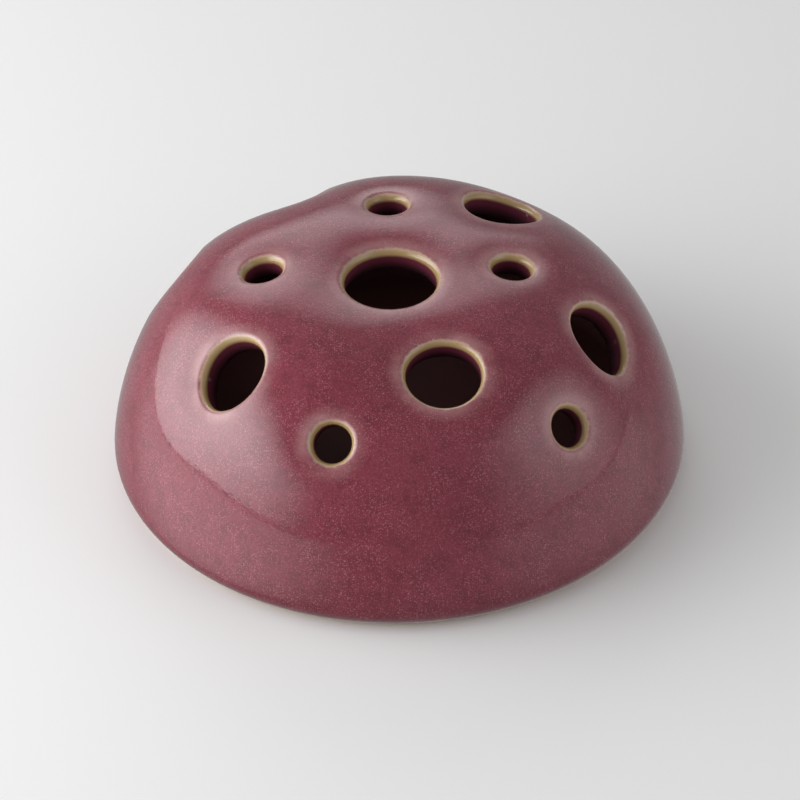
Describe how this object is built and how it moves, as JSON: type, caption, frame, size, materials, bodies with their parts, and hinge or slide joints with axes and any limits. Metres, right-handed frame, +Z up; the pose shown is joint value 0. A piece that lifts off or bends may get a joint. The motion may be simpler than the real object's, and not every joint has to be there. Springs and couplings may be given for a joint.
{
  "type": "flower frog",
  "caption": "Low hollow glazed ceramic dome with a closed floor and round stem holes of several sizes, each in a soft dimple.",
  "frame": {"origin": "on the table plane, under the middle of the dome: the centre of the foot ring's underside", "axes": "+Z up out of the crown; -Y is the front; +X is right, seen from the front. The front has a low small hole left of its middle and a large hole above it on the right"},
  "size_m": [0.115, 0.115, 0.0454],
  "materials": {
    "glazed_stoneware": "glossy raspberry glaze that breaks to ochre on the lips, bare clay under the foot ring"
  },
  "bodies": {
    "root": {"ceramic_body": "glazed_stoneware"}
  },
  "joints": []
}
